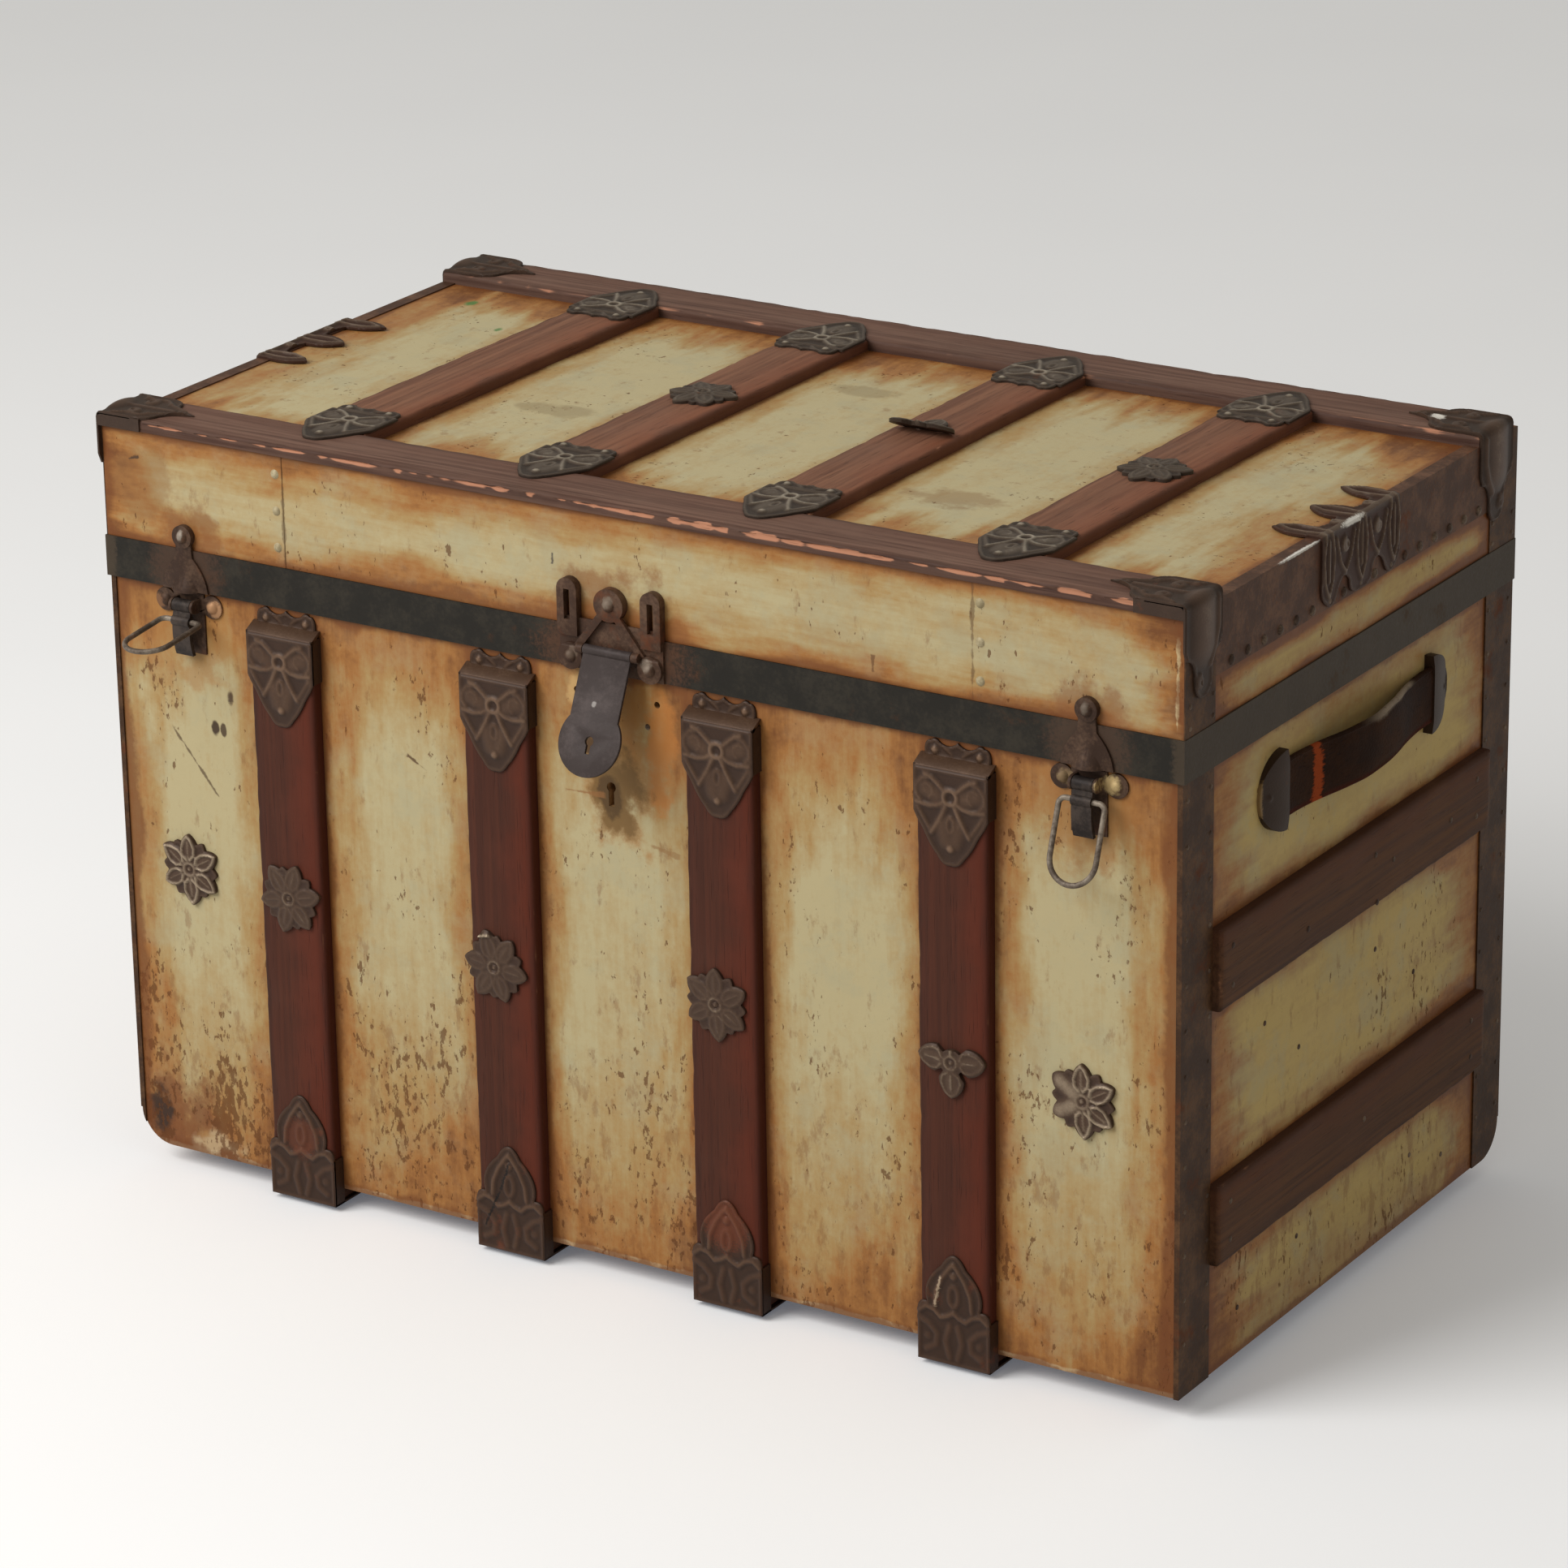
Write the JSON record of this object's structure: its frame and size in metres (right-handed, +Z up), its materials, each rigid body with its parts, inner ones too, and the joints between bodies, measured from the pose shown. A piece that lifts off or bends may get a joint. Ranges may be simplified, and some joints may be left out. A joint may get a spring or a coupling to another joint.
{
  "type": "travelling trunk",
  "caption": "Flat-top slatted travelling trunk with a hinged lid, draw latches, a swinging hasp, leather end handles, stamped iron clasps and rosettes, on rollers.",
  "frame": {"origin": "on the floor that the rollers stand on, under the middle of the case without lid and handles", "axes": "+X to the trunk's right end seen from the front, +Y to the back with the hinges, +Z up"},
  "size_m": [0.8432, 0.52, 0.5414],
  "materials": {
    "pine": "bare, aged",
    "painted_cover": "worn satin",
    "base_slats": "stained, worn",
    "lid_slats": "stained, worn",
    "steel_band": "worn matt",
    "brown_binding": "worn matt",
    "stamped_iron": "brown patina",
    "lock_iron": "dark, rusted",
    "hinge_steel": "dull",
    "nickel_rivets": "dull nickel",
    "handle_leather": "worn",
    "roller_wood": "dark, worn"
  },
  "bodies": {
    "lid": {"hasp_pin": "lock_iron", "hasp_plate": "lock_iron", "latch_keepers": "lock_iron", "lid_back_board": "pine", "lid_back_cover": "painted_cover", "lid_back_edge_slat": "lid_slats", "lid_band": "steel_band", "lid_corner_bindings": "brown_binding", "lid_corner_caps": "stamped_iron", "lid_cross_slats": "lid_slats", "lid_end_bindings": "brown_binding", "lid_end_covers": "painted_cover", "lid_end_ornaments": "stamped_iron", "lid_front_board": "pine", "lid_front_edge_slat": "lid_slats", "lid_front_sheets": "painted_cover", "lid_hinge_leaves": "hinge_steel", "lid_left_end_board": "pine", "lid_right_end_board": "pine", "lid_rosettes": "stamped_iron", "lid_slat_clasps": "stamped_iron", "lid_top_board": "pine", "lid_top_cover": "painted_cover", "seam_rivets": "nickel_rivets"},
    "hasp": {"hasp": "lock_iron"},
    "left_latch_lever": {"left_latch_lever": "lock_iron"},
    "left_latch_bail": {"left_latch_bail": "lock_iron"},
    "right_latch_lever": {"right_latch_lever": "lock_iron"},
    "right_latch_bail": {"right_latch_bail": "lock_iron"},
    "roller_front_left": {"roller_front_left": "roller_wood"},
    "roller_front_right": {"roller_front_right": "roller_wood"},
    "roller_back_left": {"roller_back_left": "roller_wood"},
    "roller_back_right": {"roller_back_right": "roller_wood"},
    "base": {"back_board": "pine", "back_cover": "painted_cover", "back_slats": "base_slats", "base_hinge_leaves": "hinge_steel", "bottom_board": "pine", "bottom_runners": "base_slats", "corner_bindings": "brown_binding", "end_covers": "painted_cover", "front_board": "pine", "front_cover": "painted_cover", "front_rosettes": "stamped_iron", "front_slats": "base_slats", "hinge_pins": "hinge_steel", "latch_pins": "lock_iron", "latch_plates": "lock_iron", "left_end_board": "pine", "left_end_slats": "base_slats", "left_handle_caps": "stamped_iron", "left_handle_strap": "handle_leather", "right_end_board": "pine", "right_end_slats": "base_slats", "right_handle_caps": "stamped_iron", "right_handle_strap": "handle_leather", "roller_axles": "hinge_steel", "roller_cups": "hinge_steel", "slat_foot_clasps": "stamped_iron", "slat_top_clasps": "stamped_iron"}
  },
  "joints": [
    {"name": "lid_hinge", "type": "hinge", "parent": "base", "child": "lid", "pos_m": [0, 0.2283, 0.4312], "axis": [-1, 0, 0], "range_deg": [0, 100]},
    {"name": "hasp_swing", "type": "hinge", "parent": "lid", "child": "hasp", "pos_m": [-0.003, -0.2322, 0.438], "axis": [-1, 0, 0], "range_deg": [-24, 136]},
    {"name": "left_lever_swing", "type": "hinge", "parent": "base", "child": "left_latch_lever", "pos_m": [-0.34087, -0.231, 0.413], "axis": [-1, 0, 0], "range_deg": [0, 75]},
    {"name": "left_bail_swing", "type": "hinge", "parent": "left_latch_lever", "child": "left_latch_bail", "pos_m": [-0.34087, -0.23349, 0.403], "axis": [-1, 0, 0], "range_deg": [-84, 16]},
    {"name": "right_lever_swing", "type": "hinge", "parent": "base", "child": "right_latch_lever", "pos_m": [0.34087, -0.231, 0.413], "axis": [-1, 0, 0], "range_deg": [0, 75]},
    {"name": "right_bail_swing", "type": "hinge", "parent": "right_latch_lever", "child": "right_latch_bail", "pos_m": [0.34087, -0.23349, 0.403], "axis": [-1, 0, 0], "range_deg": [-19, 81]},
    {"name": "front_left_roller_spin", "type": "hinge", "parent": "base", "child": "roller_front_left", "pos_m": [-0.34213, -0.19, 0.012], "axis": [0, 1, 0], "continuous": true},
    {"name": "front_right_roller_spin", "type": "hinge", "parent": "base", "child": "roller_front_right", "pos_m": [0.34213, -0.19, 0.012], "axis": [0, 1, 0], "continuous": true},
    {"name": "back_left_roller_spin", "type": "hinge", "parent": "base", "child": "roller_back_left", "pos_m": [-0.34213, 0.19, 0.012], "axis": [0, 1, 0], "continuous": true},
    {"name": "back_right_roller_spin", "type": "hinge", "parent": "base", "child": "roller_back_right", "pos_m": [0.34213, 0.19, 0.012], "axis": [0, 1, 0], "continuous": true}
  ]
}
